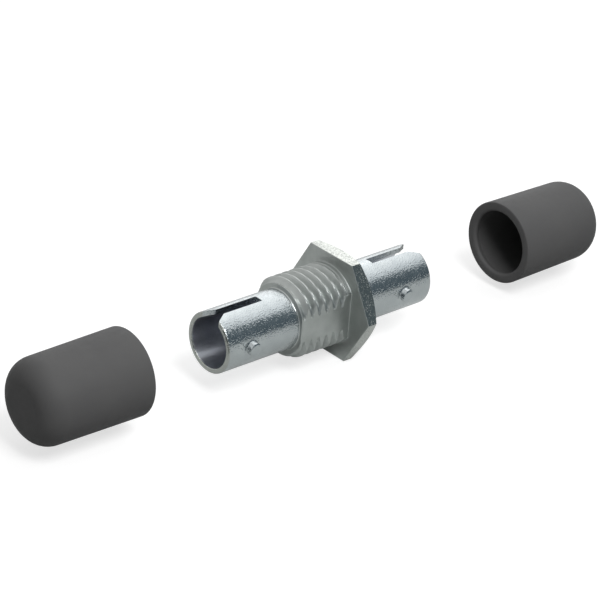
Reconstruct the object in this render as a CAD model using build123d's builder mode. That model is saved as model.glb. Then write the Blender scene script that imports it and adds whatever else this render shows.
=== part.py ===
from build123d import *
import os
from math import cos, radians, tan

# ST fibre adapter for a panel, with its two dust caps pulled off along the fibre axis.
#
# Frame: the fibre axis is X. X = 0 is the flat front face of the hexagon, the face that seats on
# the panel. +X runs out of the short rear barrel, -X out of the long front barrel, and +Z points
# to the keyways. The bayonet studs and the shank's flats face +Y and -Y.
# All sizes are in millimetres.

# Hexagon flange
hex_across_flats = 12.0
hex_thickness = 1.85
hex_chamfer_diameter = 11.5
hex_chamfer_angle = 30.0

# Threaded shank with two flats, which goes through the panel
thread_diameter = 9.45
thread_root_diameter = 8.1
shank_length = 7.15
shank_across_flats = 7.6

# Bayonet barrels: both ends take the same plug
barrel_diameter = 7.0
socket_diameter = 5.8
front_barrel_length = 10.0
rear_barrel_length = 10.95
barrel_rim_chamfer = 0.18

# Keyways and their funnels at the mouths
keyway_width = 1.17
keyway_length = 6.8
funnel_length = 1.4
funnel_width = 2.9

# Bayonet studs
stud_diameter = 1.55
stud_span = 8.3
front_stud_from_mouth = 3.3
rear_stud_from_mouth = 4.0

# Split alignment sleeve for 2.5 mm ferrules
ferrule_diameter = 2.5
sleeve_bore_fit = -0.01
sleeve_wall = 0.36
sleeve_length = 11.4
sleeve_slit = 0.5
sleeve_lead_in = 0.12

# Chamber that traps the sleeve, with a lip at each end
sleeve_side_play = 0.1
sleeve_end_play = 0.1
lip_thickness = 0.7
lip_clearance = 0.2

# Spigot of the rear barrel, pressed into the housing
spigot_diameter = 6.2
spigot_length = 4.85
spigot_fit = 0.01
spigot_end_gap = 0.1
spigot_lead_in = 0.2

# Dust caps of soft vinyl
cap_stud_clearance = 0.05
cap_wall = 0.775
cap_side_taper = 0.15
cap_end_gap = 1.2
cap_end_wall = 1.4
cap_corner_radius = 2.5
cap_inner_corner_chamfer = 1.2
cap_rim_chamfer = 0.2
cap_seat_gap = 0.1
front_cap_travel = 20.95
rear_cap_travel = 25.25

# Places along the axis
front_seat_x = -shank_length
front_mouth_x = front_seat_x - front_barrel_length
rear_seat_x = hex_thickness
rear_mouth_x = rear_seat_x + rear_barrel_length
front_stud_x = front_mouth_x + front_stud_from_mouth
rear_stud_x = rear_mouth_x - rear_stud_from_mouth
sleeve_centre_x = (front_stud_x + rear_stud_x) / 2
chamber_half = sleeve_length / 2 + sleeve_end_play
web_half = chamber_half + lip_thickness
spigot_end_x = rear_seat_x - spigot_length

# Radii that follow from the fits
barrel_radius = barrel_diameter / 2
socket_radius = socket_diameter / 2
sleeve_inner_radius = ferrule_diameter / 2 + sleeve_bore_fit
sleeve_outer_radius = sleeve_inner_radius + sleeve_wall
chamber_radius = sleeve_outer_radius + sleeve_side_play
lip_radius = ferrule_diameter / 2 + lip_clearance
cap_bore_radius = stud_span / 2 + cap_stud_clearance
cap_mouth_radius = cap_bore_radius + cap_wall
cap_end_radius = cap_mouth_radius - cap_side_taper
cap_depth = max(front_barrel_length, rear_barrel_length) - cap_seat_gap + cap_end_gap
cap_length = cap_depth + cap_end_wall


def hexagon_flange():
    """Hexagon with flats at top and bottom, square in front and turned to a chamfer behind."""
    corner_radius = hex_across_flats / 2 / cos(radians(30))
    chamfer_radius = hex_chamfer_diameter / 2
    chamfer_drop = (corner_radius - chamfer_radius) * tan(radians(hex_chamfer_angle))
    with BuildPart() as flange:
        with BuildSketch(Plane.YZ):
            RegularPolygon(hex_across_flats / 2, 6, major_radius=False)
        extrude(amount=hex_thickness)
        with BuildSketch(Plane.XZ):
            Polygon(
                (0, 0),
                (0, corner_radius),
                (hex_thickness - chamfer_drop, corner_radius),
                (hex_thickness, chamfer_radius),
                (hex_thickness, 0),
                align=None,
            )
        revolve(axis=Axis.X, mode=Mode.INTERSECT)
    return flange.part


def threaded_shank():
    """Shank of the panel thread, with a lead-in chamfer to the thread's root and two flats."""
    crest = thread_diameter / 2
    root = thread_root_diameter / 2
    with BuildPart() as shank:
        with BuildSketch(Plane.XZ):
            Polygon(
                (0, 0),
                (0, crest),
                (-shank_length + crest - root, crest),
                (-shank_length, root),
                (-shank_length, 0),
                align=None,
            )
        revolve(axis=Axis.X)
        with BuildSketch(Plane.YZ):
            Rectangle(shank_across_flats, 2 * thread_diameter)
        extrude(amount=-shank_length, mode=Mode.INTERSECT)
    return shank.part


def barrel_outside(seat_x, mouth_x, stud_x):
    """Solid barrel from its seat to its chamfered rim, with the two studs turned to their span."""
    reach = stud_span / 2
    with BuildPart() as studs:
        with BuildSketch(Plane.XZ):
            with Locations((stud_x, 0)):
                Circle(stud_diameter / 2)
        extrude(amount=stud_span, both=True)
        with BuildSketch(Plane.YZ.offset(stud_x)):
            Circle(reach)
        extrude(amount=stud_diameter, both=True, mode=Mode.INTERSECT)
    with BuildPart() as barrel:
        with BuildSketch(Plane.YZ.offset(seat_x)):
            Circle(barrel_radius)
        extrude(amount=mouth_x - seat_x)
        rim = barrel.edges().filter_by(GeomType.CIRCLE).sort_by(lambda edge: abs(edge.center().X - mouth_x))
        chamfer(rim[0], barrel_rim_chamfer)
        add(studs.part)
    return barrel.part


def socket_space(mouth_x, web_x):
    """Hollow that takes the plug's nose, from the mouth to the face of the web."""
    with BuildPart() as space:
        with BuildSketch(Plane.YZ.offset(mouth_x)):
            Circle(socket_radius)
        extrude(amount=web_x - mouth_x)
    return space.part


def keyway_space(mouth_x, inward):
    """Keyway through the top of the barrel, opening into a funnel at the mouth."""
    half = keyway_width / 2
    funnel_half = funnel_width / 2
    funnel_x = mouth_x + inward * funnel_length
    closed_x = mouth_x + inward * keyway_length
    with BuildPart() as space:
        with BuildSketch(Plane.XY):
            Polygon(
                (mouth_x, -funnel_half),
                (mouth_x, funnel_half),
                (funnel_x, half),
                (closed_x, half),
                (closed_x, -half),
                (funnel_x, -half),
                align=None,
            )
        extrude(amount=barrel_diameter)
    return space.part


def sleeve_space(from_x, to_x, lip_end_x):
    """Half of the sleeve's chamber, from the joint to the lip, and the ferrule hole in the lip."""
    with BuildPart() as space:
        with BuildSketch(Plane.YZ.offset(from_x)):
            Circle(chamber_radius)
        extrude(amount=to_x - from_x)
        with BuildSketch(Plane.YZ.offset(to_x)):
            Circle(lip_radius)
        extrude(amount=lip_end_x - to_x)
    return space.part


def nearest_corner(section, along, out):
    """Corner of a half-section that lies nearest to a point, given along the axis and out from it."""
    return section.vertices().sort_by_distance((along, out))[0]


def dust_cap(mouth_x, outward):
    """Cup of soft vinyl, tapered to a well rounded closed end; outward is +1 or -1 along X."""
    cap_plane = Plane(origin=(mouth_x, 0, 0), x_dir=(outward, 0, 0), z_dir=(0, -outward, 0))
    with BuildPart() as cap:
        with BuildSketch(cap_plane) as section:
            Polygon(
                (0, cap_bore_radius),
                (0, cap_mouth_radius),
                (cap_length, cap_end_radius),
                (cap_length, 0),
                (cap_depth, 0),
                (cap_depth, cap_bore_radius),
                align=None,
            )
            fillet(nearest_corner(section, cap_length, cap_end_radius), cap_corner_radius)
            chamfer(nearest_corner(section, cap_depth, cap_bore_radius), cap_inner_corner_chamfer)
            chamfer(nearest_corner(section, 0, cap_mouth_radius), cap_rim_chamfer)
            chamfer(nearest_corner(section, 0, cap_bore_radius), cap_rim_chamfer)
        revolve(axis=Axis.X)
    return cap.part


os.makedirs("parts", exist_ok=True)

# Housing: the hexagon, the threaded shank and the front barrel are one casting
flange = hexagon_flange()
shank = threaded_shank()
front_barrel = barrel_outside(front_seat_x, front_mouth_x, front_stud_x)
front_socket = socket_space(front_mouth_x, sleeve_centre_x - web_half)
front_keyway = keyway_space(front_mouth_x, 1)
front_chamber = sleeve_space(spigot_end_x, sleeve_centre_x - chamber_half, sleeve_centre_x - web_half)
with BuildPart() as housing:
    add(flange)
    add(shank)
    add(front_barrel)
    add(front_socket, mode=Mode.SUBTRACT)
    add(front_keyway, mode=Mode.SUBTRACT)
    add(front_chamber, mode=Mode.SUBTRACT)
    with BuildSketch(Plane.YZ.offset(rear_seat_x)):
        Circle(spigot_diameter / 2 + spigot_fit)
    extrude(amount=-(spigot_length + spigot_end_gap), mode=Mode.SUBTRACT)
housing.part.label = "housing"
export_step(housing.part, "parts/housing.step")

# Rear barrel: a second casting, whose spigot is pressed into the housing
barrel = barrel_outside(rear_seat_x, rear_mouth_x, rear_stud_x)
rear_socket = socket_space(rear_mouth_x, sleeve_centre_x + web_half)
rear_keyway = keyway_space(rear_mouth_x, -1)
rear_chamber = sleeve_space(spigot_end_x, sleeve_centre_x + chamber_half, sleeve_centre_x + web_half)
with BuildPart() as rear_barrel:
    add(barrel)
    with BuildSketch(Plane.YZ.offset(rear_seat_x)):
        Circle(spigot_diameter / 2)
    extrude(amount=-spigot_length)
    spigot_face = rear_barrel.faces().filter_by(Axis.X).sort_by(Axis.X)[0]
    chamfer(spigot_face.edges(), spigot_lead_in)
    add(rear_socket, mode=Mode.SUBTRACT)
    add(rear_keyway, mode=Mode.SUBTRACT)
    add(rear_chamber, mode=Mode.SUBTRACT)
rear_barrel.part.label = "rear_barrel"
export_step(rear_barrel.part, "parts/rear_barrel.step")

# Alignment sleeve: a ceramic tube with one slit along it, loose in its chamber
with BuildPart() as alignment_sleeve:
    with BuildSketch(Plane.YZ.offset(sleeve_centre_x)):
        Circle(sleeve_outer_radius)
        Circle(sleeve_inner_radius, mode=Mode.SUBTRACT)
    extrude(amount=sleeve_length / 2, both=True)
    ends = alignment_sleeve.edges().filter_by(GeomType.CIRCLE)
    chamfer(ends.group_by(SortBy.RADIUS)[0], sleeve_lead_in)
    with BuildSketch(Plane.XY):
        with Locations((sleeve_centre_x, 0)):
            Rectangle(sleeve_length, sleeve_slit)
    extrude(amount=2 * sleeve_outer_radius, mode=Mode.SUBTRACT)
alignment_sleeve.part.label = "alignment_sleeve"
export_step(alignment_sleeve.part, "parts/alignment_sleeve.step")

# Dust caps, each pulled off along the axis by its travel
with BuildPart() as front_dust_cap:
    add(dust_cap(front_seat_x - cap_seat_gap - front_cap_travel, -1))
front_dust_cap.part.label = "front_dust_cap"
export_step(front_dust_cap.part, "parts/front_dust_cap.step")

with BuildPart() as rear_dust_cap:
    add(dust_cap(rear_seat_x + cap_seat_gap + rear_cap_travel, 1))
rear_dust_cap.part.label = "rear_dust_cap"
export_step(rear_dust_cap.part, "parts/rear_dust_cap.step")
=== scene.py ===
import bpy
import numpy as np
from mathutils import Matrix, Vector


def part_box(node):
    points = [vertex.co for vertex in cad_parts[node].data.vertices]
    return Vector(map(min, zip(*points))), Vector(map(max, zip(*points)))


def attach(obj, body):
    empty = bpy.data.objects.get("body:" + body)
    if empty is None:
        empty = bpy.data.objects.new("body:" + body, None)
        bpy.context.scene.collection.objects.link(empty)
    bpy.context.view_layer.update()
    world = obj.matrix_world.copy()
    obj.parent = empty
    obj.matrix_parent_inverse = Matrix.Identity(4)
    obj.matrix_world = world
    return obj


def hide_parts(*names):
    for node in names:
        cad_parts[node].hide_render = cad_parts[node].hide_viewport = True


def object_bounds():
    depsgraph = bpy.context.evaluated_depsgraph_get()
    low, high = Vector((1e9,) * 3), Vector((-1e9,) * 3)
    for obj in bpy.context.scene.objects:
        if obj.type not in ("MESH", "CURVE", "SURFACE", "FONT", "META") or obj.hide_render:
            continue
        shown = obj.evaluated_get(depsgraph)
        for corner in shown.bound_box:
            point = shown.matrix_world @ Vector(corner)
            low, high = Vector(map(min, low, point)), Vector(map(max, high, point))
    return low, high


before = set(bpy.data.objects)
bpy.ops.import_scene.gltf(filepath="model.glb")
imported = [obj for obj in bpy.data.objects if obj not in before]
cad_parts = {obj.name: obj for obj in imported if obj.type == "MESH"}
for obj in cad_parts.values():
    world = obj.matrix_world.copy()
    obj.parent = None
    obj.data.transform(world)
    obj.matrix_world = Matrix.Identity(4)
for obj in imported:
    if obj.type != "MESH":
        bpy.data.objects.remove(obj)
cad_low, cad_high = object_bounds()

# Camera: it stands before the long barrel's mouth, a little to its side and above it, and looks
# along the coupling through a long lens. Lengths in this script are millimetres times mm.
mm = 0.001
eye = Vector((-172.4, -178.0, 129.7)) * mm
ahead = Vector((0.6085, 0.6438, -0.4638)).normalized()
across = Vector((0.7506, -0.6566, 0.0732))
lens = bpy.data.cameras.new("camera")
lens.lens = 150
lens.sensor_width = 36
lens.clip_start = 10 * mm
lens.clip_end = 10
camera = bpy.data.objects.new("camera", lens)
bpy.context.scene.collection.objects.link(camera)
right = (across - ahead * across.dot(ahead)).normalized()
facing = Matrix((right, right.cross(ahead), -ahead)).transposed().to_4x4()
camera.matrix_world = Matrix.Translation(eye) @ facing
bpy.context.scene.camera = camera


# Housing: one die casting in zinc alloy, plated with dull nickel, that holds the hexagon, the
# threaded shank and the long front barrel. Two flats on the shank stop it turning in the panel,
# and the barrel has a keyway on top and a bayonet stud on each side.
hexagon_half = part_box("housing")[1].z / mm
hexagon_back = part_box("housing")[1].x / mm
hexagon_turned_to = 5.75
hexagon_slope = np.tan(np.radians(30))
hexagon_edge = 0.05
shank_end = -7.15
shank_flat = 3.8
thread_crest = 4.725
thread_root = 4.08
thread_pitch = 1.1
thread_first_crest = -6.434
thread_crest_flat = 0.06
thread_flank = 0.38
thread_rounding = 0.2
thread_runout = -0.5
thread_runout_length = 0.18
thread_step = 0.052
burr_depth = 0.14
burr_reach = 0.25
smallest_sine = 0.01
root_fillet = 0.13
collar_fillet = 0.06

barrel_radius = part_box("rear_barrel")[1].z / mm
socket_radius = 2.9
rim_outside_round = 0.2
rim_inside_round = 0.11
front_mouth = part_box("housing")[0].x / mm
front_stud = 3.3
keyway_half = 0.585
keyway_length = 6.8
funnel_half = 1.45
funnel_length = 1.4
stud_radius = 0.775
stud_edge = 0.22
stud_foot = 0.09
stud_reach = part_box("rear_barrel")[1].y / mm

bore_middle = -2.525
web_half = 6.5
chamber_half = 5.8
chamber_radius = 1.7
lip_radius = 1.45
lip_edge = 0.1
spigot_radius = 3.1
spigot_bore = 3.11
spigot_floor = -3.1

# The grid of a casting: rings along the axis, and columns round it. A stud takes up a square of
# the grid, and stud_rings are the ones at its middle, its rounded edge, its wall and its foot.
columns = 300
step = 2 * np.pi / columns
keyway_column = 9
drawn_columns = 24
stud_columns = 16
stud_blend = 3
stud_rings = [0, 8, 9, 10, 11, 12, 13, stud_columns]
rows_behind_stud = 6
rows_before_stud = 2
funnel_rows = 5
rim_steps = 4
socket_rings = 3
web_steps = 4
bend_steps = 3
side_steps = 3
face_steps = 5
end_steps = 2
bare_steps = 4


def along(start, end, steps):
    """Evenly spaced values from start to end."""
    return np.linspace(start, end, steps + 1)


def rings(x, radius):
    """Plain circular rings: each place along the axis and its radius, repeated for every column."""
    x, radius = np.broadcast_arrays(x, radius)
    return np.repeat(x[:, None], columns, 1), np.repeat(radius[:, None], columns, 1)


def column_angles(edge):
    """Angle of each column from the top, towards the near side. The columns are even, but those
    near the top are drawn together or apart, so that one runs along each edge of the keyway."""
    even = np.mod(np.arange(columns) * step + np.pi, 2 * np.pi) - np.pi
    size, side = np.abs(even), np.sign(even)
    inner, outer = keyway_column * step, drawn_columns * step
    edge = np.asarray(edge)[:, None]
    beside = edge + (size - inner) * (outer - edge) / (outer - inner)
    return side * np.where(size < inner, size * edge / inner, np.where(size < outer, beside, size))


def barrel_rows(mouth, inward, stud):
    """Rings of a keyed barrel, from the keyway's closed end along the outside to the mouth, round
    the rim and back inside. Returns place, radius and keyway half-width, one value for each ring,
    and the number of the ring through the stud. Quarter circles round the rim's two edges."""
    half = stud_columns * step * barrel_radius
    quarter = np.radians(along(0, 90, rim_steps))
    straight = np.concatenate([
        along(keyway_length, stud + half, rows_behind_stud)[:-1],
        along(stud + half, stud - half, 2 * stud_columns)[:-1],
        along(stud - half, funnel_length, rows_before_stud)[:-1],
        along(funnel_length, rim_outside_round, funnel_rows)[:-1],
    ])
    outside = np.concatenate([straight, rim_outside_round * (1 - np.sin(quarter))])
    inside = np.concatenate([straight, rim_inside_round * (1 - np.sin(quarter))])
    outside_radius = np.full(outside.shape, barrel_radius)
    outside_radius[len(straight):] -= rim_outside_round * (1 - np.cos(quarter))
    inside_radius = np.full(inside.shape, socket_radius)
    inside_radius[len(straight):] += rim_inside_round * (1 - np.cos(quarter))
    depth = np.concatenate([outside, inside[::-1]])
    radius = np.concatenate([outside_radius, inside_radius[::-1]])
    widening = np.clip(1 - depth / funnel_length, 0, 1)
    half_width = keyway_half + (funnel_half - keyway_half) * widening
    return mouth + inward * depth, radius, half_width, rows_behind_stud + stud_columns


def raise_stud(x, radius, angle, row, column):
    """Draws the square rings of the grid round one point into circles, and lifts the inner ones
    from the barrel into a stud: a flat top turned to the stud's reach, a rounded edge, a straight
    wall along the stud's own axis and a small fillet at its foot."""
    rows = slice(row - stud_columns, row + stud_columns + 1)
    cols = slice(column - stud_columns, column + stud_columns + 1)
    count = np.abs(np.arange(-stud_columns, stud_columns + 1))
    ring = np.maximum(count[:, None], count[None, :])
    shift = x[rows, cols] - x[row, column]
    lift = barrel_radius * np.sin(angle[rows, cols] - angle[row, column])
    spread = np.hypot(shift, lift)
    spread[stud_columns, stud_columns] = 1
    edge_share = 1 - np.sqrt(0.5)
    outer = stud_columns * step * barrel_radius
    reach = np.interp(ring, stud_rings, [
        0, stud_radius - stud_edge, stud_radius - stud_edge * edge_share, stud_radius,
        stud_radius, stud_radius + stud_foot * edge_share, stud_radius + stud_foot, outer,
    ])
    height = np.interp(ring, stud_rings, [
        stud_reach, stud_reach, stud_reach - stud_edge * edge_share, stud_reach - stud_edge,
        barrel_radius + stud_foot, barrel_radius + stud_foot * edge_share, barrel_radius, barrel_radius,
    ])
    circular = np.clip((stud_columns - ring) / stud_blend, 0, 1)
    pull = 1 - circular + circular * reach / spread
    middle_x, middle_angle = x[row, column], angle[row, column]
    x[rows, cols] = middle_x + shift * pull
    radius[rows, cols] = height
    angle[rows, cols] = middle_angle + np.arcsin(lift * pull / height)


def ring_faces(ring_count, keyway_rings):
    """Four-cornered faces between neighbouring rings and columns, closed both ways round. The
    faces over the keyway are left out, and its two sides and its closed end are filled in."""
    ring, column = np.meshgrid(np.arange(ring_count), np.arange(columns), indexing="ij")
    after, beside = (ring + 1) % ring_count, (column + 1) % columns
    corners = [(ring, column), (after, column), (after, beside), (ring, beside)]
    skin = np.stack([r * columns + c for r, c in corners], -1)
    over = (column < keyway_column) | (column >= columns - keyway_column)
    skin = skin[~(over & (ring < keyway_rings - 1))]
    last = keyway_rings - 1
    here = np.arange(keyway_rings // 2 - 1)
    sides = []
    for edge, order in ((keyway_column, -1), (columns - keyway_column, 1)):
        side = np.stack([here, here + 1, last - here - 1, last - here], -1) * columns + edge
        sides.append(side[:, ::order])
    top = np.arange(-keyway_column, keyway_column)
    first, second = top % columns, (top + 1) % columns
    end = np.stack([last * columns + first, last * columns + second, second, first], -1)
    return np.concatenate([skin, *sides, end])


def around_axis(x, radius, angle):
    """Points on rings about the fibre axis: the angle runs from the top towards the near side."""
    return np.stack([x, -radius * np.sin(angle), radius * np.cos(angle)], -1).reshape(-1, 3)


sharp_from = 34


def add_piece(name, points, faces, body, material):
    """Makes a piece from points in millimetres. Unused points are dropped, and all faces are
    turned round if they enclose a negative volume, so that they point outwards."""
    faces = [np.asarray(f) for f in faces]
    used, places = np.unique(np.concatenate([f.ravel() for f in faces]), return_inverse=True)
    parts = np.split(places, np.cumsum([f.size for f in faces])[:-1])
    faces = [p.reshape(f.shape) for p, f in zip(parts, faces)]
    points = points[used] * mm
    volume = 0
    for f in faces:
        for second in range(1, f.shape[1] - 1):
            a, b, c = (points[f[:, k]] for k in (0, second, second + 1))
            volume += np.einsum("ij,ij->", a, np.cross(b, c))
    order = 1 if volume > 0 else -1
    mesh = bpy.data.meshes.new(name)
    mesh.from_pydata(points.tolist(), [], [face for f in faces for face in f[:, ::order].tolist()])
    mesh.polygons.foreach_set("use_smooth", np.ones(len(mesh.polygons), bool))
    mesh.set_sharp_from_angle(angle=np.radians(sharp_from))
    mesh.validate()
    piece = bpy.data.objects.new(name, mesh)
    bpy.context.scene.collection.objects.link(piece)
    mesh.materials.append(material)
    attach(piece, body)
    return piece


def hexagon_radius(angle):
    """Distance from the axis to the hexagon's outline, which has a flat at the top."""
    sixth = np.pi / 3
    return hexagon_half / np.cos(np.mod(angle + sixth / 2, sixth) - sixth / 2)


chips = np.random.default_rng(4)


def shank_radius(x, angle):
    """Radius of the shank: a right-handed 60 degree thread, no larger than the lead-in cone at
    its end and cut by the two flats. The depth below the crest grows with the distance from the
    nearest crest line, less and less towards the rounded root, and fades into a plain collar by
    the hexagon. Along the flats' edges the thread is a little chipped, by random depths."""
    turns = (x - thread_first_crest) / thread_pitch - angle / (2 * np.pi)
    from_crest = np.abs(turns - np.round(turns)) * thread_pitch
    sunk = np.clip((from_crest - thread_crest_flat) / thread_flank, 0, 1)
    sunk = (1 + thread_rounding) * sunk - thread_rounding * sunk ** 3
    sunk *= np.clip((thread_runout - x) / thread_runout_length, 0, 1)
    threaded = thread_crest - (thread_crest - thread_root) * sunk
    flat = shank_flat / np.maximum(np.abs(np.sin(angle)), smallest_sine)
    beside_flat = np.clip(1 - np.abs(flat - threaded) / burr_reach, 0, 1) * (x < thread_runout)
    threaded = threaded - burr_depth * beside_flat * chips.random(threaded.shape) ** 2
    cone = thread_root + x - shank_end
    return np.minimum(np.minimum(threaded, cone), flat)


def node(tree, kind, inputs, **settings):
    """Adds a shader node, with its settings, and feeds each named input a value or an output."""
    made = tree.nodes.new(kind)
    for name, value in settings.items():
        setattr(made, name, value)
    for name, value in inputs.items():
        if isinstance(value, bpy.types.NodeSocket):
            tree.links.new(value, made.inputs[name])
        else:
            made.inputs[name].default_value = value
    return made


def metres_to_millimetres(tree):
    """Object coordinates in millimetres, for patterns that keep their real scale."""
    place = node(tree, "ShaderNodeTexCoord", {})
    return node(tree, "ShaderNodeMapping", {"Vector": place.outputs["Object"], "Scale": (1 / mm,) * 3})


noise_roughness = 0.55
noise_low, noise_high = 0.3, 0.7


def patches(tree, place, size, detail=2.0):
    """Soft random patches of about the given size in millimetres, from 0 to 1."""
    inputs = {"Vector": place.outputs["Vector"], "Scale": 1 / size,
              "Detail": detail, "Roughness": noise_roughness}
    return node(tree, "ShaderNodeTexNoise", inputs).outputs["Fac"]


def between(tree, value, low, high, to_low, to_high):
    """The value's range from low to high, stretched to the new range and held at its ends."""
    inputs = {"Value": value, "From Min": low, "From Max": high, "To Min": to_low, "To Max": to_high}
    return node(tree, "ShaderNodeMapRange", inputs).outputs["Result"]


def principled(name):
    """A new material, its node tree, its surface shader and its coordinates in millimetres."""
    material = bpy.data.materials.new(name)
    material.use_nodes = True
    tree = material.node_tree
    return material, tree, tree.nodes["Principled BSDF"], metres_to_millimetres(tree)


def uneven(tree, place, size, low, high, detail=2.0):
    """Patches whose common values are stretched to run from low to high."""
    return between(tree, patches(tree, place, size, detail), noise_low, noise_high, low, high)


def blend_colours(tree, value, colours):
    """A colour ramp through evenly spaced colours."""
    ramp = node(tree, "ShaderNodeValToRGB", {"Fac": value})
    elements = ramp.color_ramp.elements
    while len(elements) < len(colours):
        elements.new(0.5)
    for number, colour in enumerate(colours):
        elements[number].position = number / (len(colours) - 1)
        elements[number].color = (*colour, 1)
    return ramp.outputs["Color"]


def plated_zinc(name, dull, bright, smoothest, roughest, pimple):
    """Nickel plate on a zinc casting: slow patches of colour and roughness, and the fine round
    pimples of the casting under the plate. Pimple is their height in millimetres. Each falls
    evenly from its small flat top to the skin, within its own cell."""
    material, tree, surface, place = principled(name)
    surface.inputs["Metallic"].default_value = 1
    cloud = uneven(tree, place, plate_cloud, 0, 1)
    tree.links.new(blend_colours(tree, cloud, [dull, bright]), surface.inputs["Base Color"])
    blotch = uneven(tree, place, plate_blotch, smoothest, roughest, detail=3.0)
    tree.links.new(blotch, surface.inputs["Roughness"])
    grid = {"Vector": place.outputs["Vector"], "Scale": 1 / pimple_spacing}
    cells = node(tree, "ShaderNodeTexVoronoi", grid)
    pimples = between(tree, cells.outputs["Distance"], pimple_top, pimple_foot, 1, 0)
    relief = node(tree, "ShaderNodeBump", {"Height": pimples, "Distance": pimple * mm})
    tree.links.new(relief.outputs["Normal"], surface.inputs["Normal"])
    return material


plate_cloud = 1.6
plate_blotch = 0.5
pimple_spacing = 0.2
pimple_top, pimple_foot = 0.05, 0.52
bright_plate = plated_zinc(
    "nickel_plate_bright", dull=(0.39, 0.42, 0.43), bright=(0.44, 0.47, 0.48),
    smoothest=0.18, roughest=0.24, pimple=0.020)
satin_plate = plated_zinc(
    "nickel_plate_satin", dull=(0.35, 0.37, 0.36), bright=(0.40, 0.42, 0.41),
    smoothest=0.36, roughest=0.46, pimple=0.004)
# A lighter, bluer copy of the same plate for the bore: painted light that lifts the shade inside it.
painted_lit_bore_plate = plated_zinc(
    "nickel_plate_bore_painted_light", dull=(0.53, 0.55, 0.60), bright=(0.59, 0.61, 0.65),
    smoothest=0.30, roughest=0.38, pimple=0.007)
# A darker copy of the same plate for the rim and the hexagon's sides: painted shade that dims them.
painted_shade_edge_plate = plated_zinc(
    "nickel_plate_edge_painted_shade", dull=(0.355, 0.37, 0.35), bright=(0.395, 0.41, 0.39),
    smoothest=0.17, roughest=0.23, pimple=0.026)
painted_lit_bore_number, painted_shade_edge_number = 2, 3
bore_margin = 0.02
rim_depth = 0.1


def finish_barrel(piece, mouth, barrel_from, rest_from):
    """Bright plate on the barrel and on what lies past rest_from, a lighter copy of the plate inside
    the bore as painted light, a darker copy on the rim and round the hexagon as painted shade, and
    the piece's first material between them. A face is inside where its centre lies near the axis."""
    for plate in (bright_plate, painted_lit_bore_plate, painted_shade_edge_plate):
        piece.data.materials.append(plate)
    centres = np.empty(3 * len(piece.data.polygons))
    piece.data.polygons.foreach_get("center", centres)
    centres = centres.reshape(-1, 3) / mm
    away = np.hypot(centres[:, 1], centres[:, 2])
    bright = (centres[:, 0] < barrel_from) | (centres[:, 0] > rest_from)
    # Faces near the axis take the painted-light copy, faces on the rim and round the hexagon the
    # painted-shade copy.
    number = np.where(away < socket_radius + bore_margin, painted_lit_bore_number, bright).astype(np.int32)
    number[np.abs(centres[:, 0] - mouth) < rim_depth] = painted_shade_edge_number
    number[bright & (away > hexagon_turned_to)] = painted_shade_edge_number
    piece.data.polygons.foreach_set("material_index", number)


def keyed_casting(name, x, radius, half_width, stud_row, material):
    """A casting from its rings. On the rings of the keyed barrel the columns by the keyway follow
    its edges, and a stud is raised from the barrel on each side."""
    edge = np.full(len(x), np.arcsin(keyway_half / barrel_radius))
    edge[:keyway_rings] = np.arcsin(half_width / radius[:keyway_rings, 0])
    edge[keyway_rings:keyway_rings + socket_rings] = np.arcsin(keyway_half / socket_radius)
    angle = column_angles(edge)
    for stud_column in (columns // 4, 3 * columns // 4):
        raise_stud(x, radius, angle, stud_row, stud_column)
    points = around_axis(x, radius, angle)
    faces = [ring_faces(len(x), keyway_rings)]
    return add_piece(name, points, faces, "adapter", material)


front_x, front_r, front_half, stud_row = barrel_rows(front_mouth, 1, front_stud)
keyway_rings = len(front_x)
front_closed = front_mouth + keyway_length
web_x = bore_middle - web_half
chamber_x = bore_middle - chamber_half
inside_x = [
    along(front_closed, web_x, socket_rings)[1:], np.full(web_steps, web_x),
    [web_x + lip_edge, chamber_x, chamber_x], [spigot_floor, spigot_floor],
    along(spigot_floor, hexagon_back, side_steps)[1:], np.full(side_steps, hexagon_back),
]
inside_r = [
    np.full(socket_rings, socket_radius), along(socket_radius, lip_radius + lip_edge, web_steps)[1:],
    [lip_radius, lip_radius, chamber_radius], [chamber_radius, spigot_bore],
    np.full(side_steps, spigot_bore), along(spigot_bore, hexagon_turned_to, side_steps)[1:],
]
inside = rings(np.concatenate(inside_x), np.concatenate(inside_r))

plain_angles = column_angles([np.arcsin(keyway_half / barrel_radius)])
outline = hexagon_radius(plain_angles)
share = along(0, 1, side_steps)[1:, None]
cone_r = hexagon_turned_to + (outline - hexagon_turned_to) * share
cone_x = hexagon_back - (cone_r - hexagon_turned_to) * hexagon_slope
side_x = cone_x[-1:] + (hexagon_edge - cone_x[-1:]) * share
side_r = np.repeat(outline, side_steps, 0)
collar = shank_radius(np.array([[0.0]]), plain_angles)
face_share = along(0, 1, face_steps)[:, None]
face_from = outline - hexagon_edge
face_r = face_from + (collar + collar_fillet - face_from) * face_share
face_x = np.zeros_like(face_r)
bend = np.radians(along(0, 90, bend_steps)[1:, None])
hollow_r = collar + collar_fillet * (1 - np.sin(bend))
hollow_x = np.repeat(-collar_fillet * (1 - np.cos(bend)), columns, 1)
shank_steps = round((-collar_fillet - shank_end) / thread_step)
shank_x = np.repeat(along(-collar_fillet, shank_end, shank_steps)[1:, None], columns, 1)
shank_r = shank_radius(shank_x, plain_angles)
end_share = along(0, 1, end_steps)[1:, None]
end_r = shank_r[-1:] + (barrel_radius + root_fillet - shank_r[-1:]) * end_share
end_x = np.full_like(end_r, shank_end)
foot_r = np.repeat(barrel_radius + root_fillet * (1 - np.sin(bend)), columns, 1)
foot_x = np.repeat(shank_end - root_fillet * (1 - np.cos(bend)), columns, 1)
bare = rings(along(shank_end - root_fillet, front_closed, bare_steps)[1:-1], barrel_radius)

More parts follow.
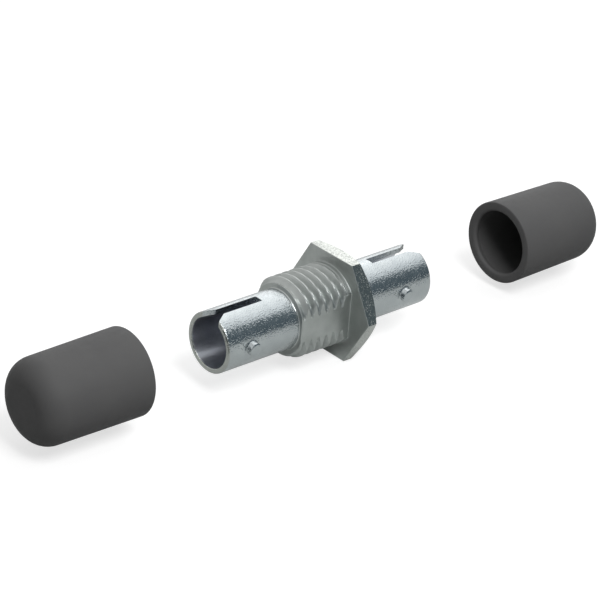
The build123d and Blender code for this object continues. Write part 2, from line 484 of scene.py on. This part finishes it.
keyed = rings(front_x, front_r)
x = np.vstack([
    keyed[0], inside[0], cone_x, side_x, face_x, hollow_x, shank_x, end_x, foot_x, bare[0]])
radius = np.vstack([
    keyed[1], inside[1], cone_r, side_r, face_r, hollow_r, shank_r, end_r, foot_r, bare[1]])
housing = keyed_casting("housing_casting", x, radius, front_half, stud_row, satin_plate)
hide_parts("housing")
finish_barrel(housing, front_mouth, shank_end - root_fillet / 2, hexagon_edge / 2)


# Rear barrel: a second die casting of the same plated zinc, with its own keyway, funnel and studs.
# Its spigot is pressed into the housing behind the hexagon, and traps the sleeve between them.
rear_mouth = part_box("rear_barrel")[1].x / mm
spigot_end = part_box("rear_barrel")[0].x / mm
spigot_edge = 0.2
rear_stud = 4.0
rear_foot = 0.1

rear_x, rear_r, rear_half, stud_row = barrel_rows(rear_mouth, -1, rear_stud)
rear_closed = rear_mouth - keyway_length
rear_web = bore_middle + web_half
rear_chamber = bore_middle + chamber_half
rest_x = [
    along(rear_closed, rear_web, socket_rings)[1:], np.full(web_steps, rear_web),
    [rear_web - lip_edge, rear_chamber, rear_chamber],
    [spigot_end, spigot_end, spigot_end + spigot_edge, hexagon_back, hexagon_back],
    hexagon_back + rear_foot * (1 - np.cos(bend[:, 0])),
    along(hexagon_back + rear_foot, rear_closed, bare_steps)[1:-1],
]
rest_r = [
    np.full(socket_rings, socket_radius), along(socket_radius, lip_radius + lip_edge, web_steps)[1:],
    [lip_radius, lip_radius, chamber_radius],
    [chamber_radius, spigot_radius - spigot_edge, spigot_radius, spigot_radius, barrel_radius + rear_foot],
    barrel_radius + rear_foot * (1 - np.sin(bend[:, 0])),
    np.full(bare_steps - 1, barrel_radius),
]
x, radius = rings(np.concatenate([rear_x, *rest_x]), np.concatenate([rear_r, *rest_r]))
rear_barrel = keyed_casting("rear_barrel_casting", x, radius, rear_half, stud_row, bright_plate)
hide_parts("rear_barrel")
finish_barrel(rear_barrel, rear_mouth, rear_mouth, spigot_end)


# Alignment sleeve: a ground tube of white zirconia, slit along its length so that it grips the
# two ferrules. It floats in the chamber between the castings.
sleeve_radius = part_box("alignment_sleeve")[1].y / mm
sleeve_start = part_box("alignment_sleeve")[0].x / mm
sleeve_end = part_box("alignment_sleeve")[1].x / mm
sleeve_bore = 1.24
sleeve_lead = 0.12
sleeve_slit_half = 0.25
sleeve_points = 64
sleeve_rows = 4


def wall_faces(row_count, loop):
    """Four-cornered faces between neighbouring rows of points, each row a closed loop."""
    row, place = np.meshgrid(np.arange(row_count - 1), np.arange(loop), indexing="ij")
    beside = (place + 1) % loop
    corners = [(row, place), (row + 1, place), (row + 1, beside), (row, beside)]
    return np.stack([r * loop + p for r, p in corners], -1).reshape(-1, 4)


def split_tube(start, end, outer, bore, lead, slit_half):
    """A C-shaped section carried along the axis: an outer arc from one edge of the slit to the
    other and an inner arc back, the bore opened out by the lead-in at both ends. The section runs
    the other way round from a cap's, so its wall's faces take their corners in reverse."""
    places = np.array([start, start + lead, end - lead, end])
    inner = bore + lead * np.array([1, 0, 0, 1])
    sweep = along(0, 1, sleeve_points - 1)[None, :]
    outer_edge = np.arcsin(slit_half / outer)
    inner_edge = np.arcsin(slit_half / inner)[:, None]
    outer_angle = np.repeat(outer_edge + (2 * np.pi - 2 * outer_edge) * sweep, sleeve_rows, 0)
    inner_angle = (inner_edge + (2 * np.pi - 2 * inner_edge) * sweep)[:, ::-1]
    turned = np.hstack([outer_angle, inner_angle])
    outer_size = np.full((sleeve_rows, sleeve_points), outer)
    size = np.hstack([outer_size, np.repeat(inner[:, None], sleeve_points, 1)])
    loop = 2 * sleeve_points
    points = around_axis(np.repeat(places[:, None], loop, 1), size, turned)
    wall = wall_faces(sleeve_rows, loop)[:, [0, 3, 2, 1]]
    here = np.arange(sleeve_points - 1)
    ends = np.stack([loop - 1 - here, loop - 2 - here, here + 1, here], -1)
    return points, [wall, ends, ends[:, ::-1] + (sleeve_rows - 1) * loop]


def fired_ceramic(name):
    """White zirconia: barely varying colour, a ground sheen and faint rings left by grinding."""
    material, tree, surface, place = principled(name)
    cloud = blend_colours(tree, patches(tree, place, ceramic_cloud), [ceramic_dull, ceramic_bright])
    tree.links.new(cloud, surface.inputs["Base Color"])
    sheen = uneven(tree, place, ceramic_blotch, ceramic_smoothest, ceramic_roughest)
    tree.links.new(sheen, surface.inputs["Roughness"])
    wave = {"Vector": place.outputs["Vector"], "Scale": ground_scale, "Distortion": ground_waver}
    ground = node(tree, "ShaderNodeTexWave", wave)
    relief = node(tree, "ShaderNodeBump", {"Height": ground.outputs["Fac"], "Distance": ground_depth * mm})
    tree.links.new(relief.outputs["Normal"], surface.inputs["Normal"])
    return material


ceramic_cloud, ceramic_blotch = 0.8, 0.3
ceramic_dull, ceramic_bright = (0.80, 0.79, 0.75), (0.88, 0.87, 0.84)
ceramic_smoothest, ceramic_roughest = 0.18, 0.3
ground_scale, ground_waver, ground_depth = 3.0, 2.0, 0.0006
tube_points, tube_faces = split_tube(
    sleeve_start, sleeve_end, sleeve_radius, sleeve_bore, sleeve_lead, sleeve_slit_half)
sleeve = add_piece(
    "ceramic_sleeve", tube_points, tube_faces, "adapter", fired_ceramic("white_zirconia"))
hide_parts("alignment_sleeve")


# Dust caps: two equal cups dipped in soft dark vinyl, pulled off and lying in line with the
# barrels they cover. Their closed ends are well rounded and their mouths turn in to a lip.
cap_wall_at_mouth = 4.975
cap_taper = 0.15
cap_bore = 4.2
cap_lip = 3.85
cap_lip_length = 1.1
cap_length = 13.45
cap_depth = 12.05
cap_corner = 2.5
cap_inner_corner = 1.3
cap_rim = 0.15
cap_rim_inside = 0.35
cap_columns = 192
cap_steps = 8
cap_corner_steps = 12
cap_rim_steps = 5
cap_inner_steps = 6


def arc(centre_x, centre_r, size, start, end, steps):
    """Points of a circular arc in the plane of the section, from one angle to another, in degrees."""
    turned = np.radians(along(start, end, steps))
    return np.stack([centre_x + size * np.cos(turned), centre_r + size * np.sin(turned)], -1)


def cap_section():
    """The cap's section as depth from the mouth and radius: out from the closed end's centre,
    round its corner, down the tapered side, round the lip, and inside back to the floor's centre.
    Every corner is a circular arc, and the lip runs into the bore by half a cosine wave."""
    end = cap_wall_at_mouth - cap_taper
    run = along(0, 1, cap_steps)[1:, None]
    closed_r = along(0, end - cap_corner, cap_steps)[:, None]
    closed = np.hstack([np.full_like(closed_r, cap_length), closed_r])
    corner = arc(cap_length - cap_corner, end - cap_corner, cap_corner, 0, 90, cap_corner_steps)[1:]
    rim_from = np.array([[cap_rim, cap_wall_at_mouth]])
    side = corner[-1:] + (rim_from - corner[-1:]) * run
    rim = arc(cap_rim, cap_wall_at_mouth - cap_rim, cap_rim, 90, 180, cap_rim_steps)[1:]
    lip = arc(cap_rim_inside, cap_lip + cap_rim_inside, cap_rim_inside, 180, 270, cap_inner_steps)
    wave = (1 - np.cos(np.pi * run)) / 2
    inward = np.hstack([
        cap_rim_inside + (cap_lip_length - cap_rim_inside) * run, cap_lip + (cap_bore - cap_lip) * wave])
    bore_end = cap_depth - cap_inner_corner
    bore_x = cap_lip_length + (bore_end - cap_lip_length) * run
    bore = np.hstack([bore_x, np.full_like(bore_x, cap_bore)])
    inner = arc(bore_end, cap_bore - cap_inner_corner, cap_inner_corner, 90, 0, cap_inner_steps)[1:]
    floor_r = along(cap_bore - cap_inner_corner, 0, cap_inner_steps)[1:, None]
    inside_floor = np.hstack([np.full_like(floor_r, cap_depth), floor_r])
    return np.vstack([closed, corner, side, rim, lip, inward, bore, inner, inside_floor])


def dust_cap(name, body, mouth, outward, material):
    """The section turned about the axis. Its first and last points are single poles."""
    section = cap_section()
    turned = np.arange(cap_columns) * 2 * np.pi / cap_columns
    body_rows = section[1:-1]
    x, angle = np.meshgrid(mouth + outward * body_rows[:, 0], turned, indexing="ij")
    radius = np.repeat(body_rows[:, 1:], cap_columns, 1)
    poles = np.array([[mouth + outward * section[end, 0], 0, 0] for end in (0, -1)])
    points = np.vstack([around_axis(x, radius, angle), poles])
    wall = wall_faces(len(body_rows), cap_columns)
    here = np.arange(cap_columns)
    there = (here + 1) % cap_columns
    last = (len(body_rows) - 1) * cap_columns
    closed_pole = np.stack([here, there, np.full(cap_columns, len(points) - 2)], -1)
    floor_pole = np.stack([last + there, last + here, np.full(cap_columns, len(points) - 1)], -1)
    cap = add_piece(name, points, [wall, closed_pole, floor_pole], body, material)
    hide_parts(body.replace("_cap", "_dust_cap"))


def dipped_vinyl(name):
    """Soft dark vinyl: slow grey clouds, a dull skin, faint flow ripples and a powdery grain."""
    material, tree, surface, place = principled(name)
    surface.inputs["Specular IOR Level"].default_value = vinyl_shine
    cloud = uneven(tree, place, vinyl_cloud, 0, 1, detail=3.0)
    tree.links.new(blend_colours(tree, cloud, [vinyl_dark, vinyl_light]), surface.inputs["Base Color"])
    skin = uneven(tree, place, vinyl_blotch, vinyl_smoothest, vinyl_roughest)
    tree.links.new(skin, surface.inputs["Roughness"])
    ripples = {"Height": patches(tree, place, ripple_size), "Distance": ripple_depth * mm}
    flow = node(tree, "ShaderNodeBump", ripples)
    grains = {"Height": patches(tree, place, grain_size), "Distance": grain_depth * mm}
    powder = node(tree, "ShaderNodeBump", {**grains, "Normal": flow.outputs["Normal"]})
    tree.links.new(powder.outputs["Normal"], surface.inputs["Normal"])
    return material


vinyl_cloud, vinyl_blotch = 5.0, 0.6
vinyl_dark, vinyl_light = (0.106, 0.106, 0.107), (0.116, 0.116, 0.116)
vinyl_smoothest, vinyl_roughest = 0.56, 0.66
vinyl_shine = 0.12
ripple_size, ripple_depth = 2.5, 0.03
grain_size, grain_depth = 0.12, 0.004
vinyl = dipped_vinyl("dark_vinyl")
dust_cap("front_cap_cup", "front_cap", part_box("front_dust_cap")[1].x / mm, -1, vinyl)
dust_cap("rear_cap_cup", "rear_cap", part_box("rear_dust_cap")[0].x / mm, 1, vinyl)


# Floor and light: a white floor just under the hexagon, a bright backdrop behind, a dark room on
# the camera's side, a small key light and a wide soft box above, and a low soft box behind.
floor_size = 4.0
floor_gap = 0.02
floor_level = cad_low.z - floor_gap * mm
shadow_reach, shadow_end = 70, 280
floor_cloud, floor_darkest = 40.0, 0.98
floor_seen = (0.50, 0.50, 0.50)
floor_mirrored = (0.80, 0.82, 0.81)
floor_bounced = (0.30, 0.30, 0.30)
glow_by_coupling, glow_far = (0.68, 0.68, 0.68), (1, 1, 1)
glow_mirrored = (0.01, 0.01, 0.01)
floor_mesh = bpy.data.meshes.new("floor")
corners = np.array([(-1, -1), (1, -1), (1, 1), (-1, 1)]) * floor_size / 2
floor_mesh.from_pydata([(cx, cy, floor_level) for cx, cy in corners], [], [(0, 1, 2, 3)])
floor = bpy.data.objects.new("floor", floor_mesh)
bpy.context.scene.collection.objects.link(floor)


def by_ray(tree, seen, mirrored, other):
    """A colour for what is seen directly or through glass, one for reflections, one for the rest.
    Each is three numbers or the output of another node. Inputs 6 and 7 of a Mix node are its two
    colours."""
    seen, mirrored, other = (
        colour if isinstance(colour, bpy.types.NodeSocket) else (*colour, 1)
        for colour in (seen, mirrored, other))
    path = node(tree, "ShaderNodeLightPath", {})
    either = {0: path.outputs["Is Camera Ray"], 1: path.outputs["Is Transmission Ray"]}
    direct = node(tree, "ShaderNodeMath", either, operation="MAXIMUM")
    glossy = {"Factor": path.outputs["Is Glossy Ray"], 6: other, 7: mirrored}
    mixed = node(tree, "ShaderNodeMix", glossy, data_type="RGBA")
    last = {"Factor": direct.outputs[0], 6: mixed.outputs[2], 7: seen}
    return node(tree, "ShaderNodeMix", last, data_type="RGBA").outputs[2]


paper = bpy.data.materials.new("white_floor")
paper.use_nodes = True
floor_tree = paper.node_tree
floor_tree.nodes.remove(floor_tree.nodes["Principled BSDF"])
shade = uneven(floor_tree, metres_to_millimetres(floor_tree), floor_cloud, floor_darkest, 1)
plain = by_ray(floor_tree, floor_seen, floor_mirrored, floor_bounced)
shaded = {"Factor": shade, 6: (0, 0, 0, 1), 7: plain}
paper_colour = node(floor_tree, "ShaderNodeMix", shaded, data_type="RGBA")
matt = node(floor_tree, "ShaderNodeBsdfDiffuse", {"Color": paper_colour.outputs[2]})
middle = node(floor_tree, "ShaderNodeTexCoord", {})
reach = node(floor_tree, "ShaderNodeVectorMath", {0: middle.outputs["Object"]}, operation="LENGTH")
fade = between(floor_tree, reach.outputs["Value"], shadow_reach * mm, shadow_end * mm, 0, 1)
seen_glow = blend_colours(floor_tree, fade, [glow_by_coupling, glow_far])
glow_colour = by_ray(floor_tree, seen_glow, glow_mirrored, (0, 0, 0))
glow = node(floor_tree, "ShaderNodeEmission", {"Color": glow_colour, "Strength": 1.0})
both = node(floor_tree, "ShaderNodeAddShader", {0: matt.outputs[0], 1: glow.outputs[0]})
floor_tree.links.new(both.outputs[0], floor_tree.nodes["Material Output"].inputs["Surface"])
floor_mesh.materials.append(paper)

world = bpy.data.worlds.new("studio")
bpy.context.scene.world = world
world.use_nodes = True
world_tree = world.node_tree
room_light = (0.23, 0.23, 0.23)
room_dark = (0.14, 0.18, 0.205)
white = (1, 1, 1)
backdrop_towards = (-0.5, 1.0, 1.0)
backdrop_low, backdrop_high = 0.05, 0.80
sky = node(world_tree, "ShaderNodeTexCoord", {})
directions = {0: sky.outputs["Generated"], 1: backdrop_towards}
agreement = node(world_tree, "ShaderNodeVectorMath", directions, operation="DOT_PRODUCT")
rise = between(world_tree, agreement.outputs["Value"], backdrop_low, backdrop_high, 0, 1)
backdrop = blend_colours(world_tree, rise, [room_dark, white])
background = world_tree.nodes["Background"]
world_tree.links.new(by_ray(world_tree, white, backdrop, room_light), background.inputs["Color"])
background.inputs["Strength"].default_value = 1


def soft_box(name, towards, distance, width, depth, brightness):
    """A flat lamp that faces the coupling. Its power is its area times pi times its brightness."""
    lamp = bpy.data.lights.new(name, "AREA")
    lamp.shape = "RECTANGLE"
    lamp.size, lamp.size_y = width * mm, depth * mm
    lamp.energy = brightness * np.pi * width * depth * mm * mm
    place = Vector(towards).normalized() * distance * mm
    box = bpy.data.objects.new(name, lamp)
    bpy.context.scene.collection.objects.link(box)
    box.location = place
    box.rotation_euler = place.to_track_quat("Z", "Y").to_euler()


soft_box("key_light", (-0.15, -0.56, 0.81), distance=260, width=110, depth=110, brightness=10.3)
soft_box("top_light", (0.60, 0.11, 0.79), distance=240, width=315, depth=230, brightness=0.95)
soft_box("back_light", (0.61, 0.72, 0.26), distance=300, width=160, depth=200, brightness=0.95)

bpy.context.scene.view_settings.view_transform = "Standard"
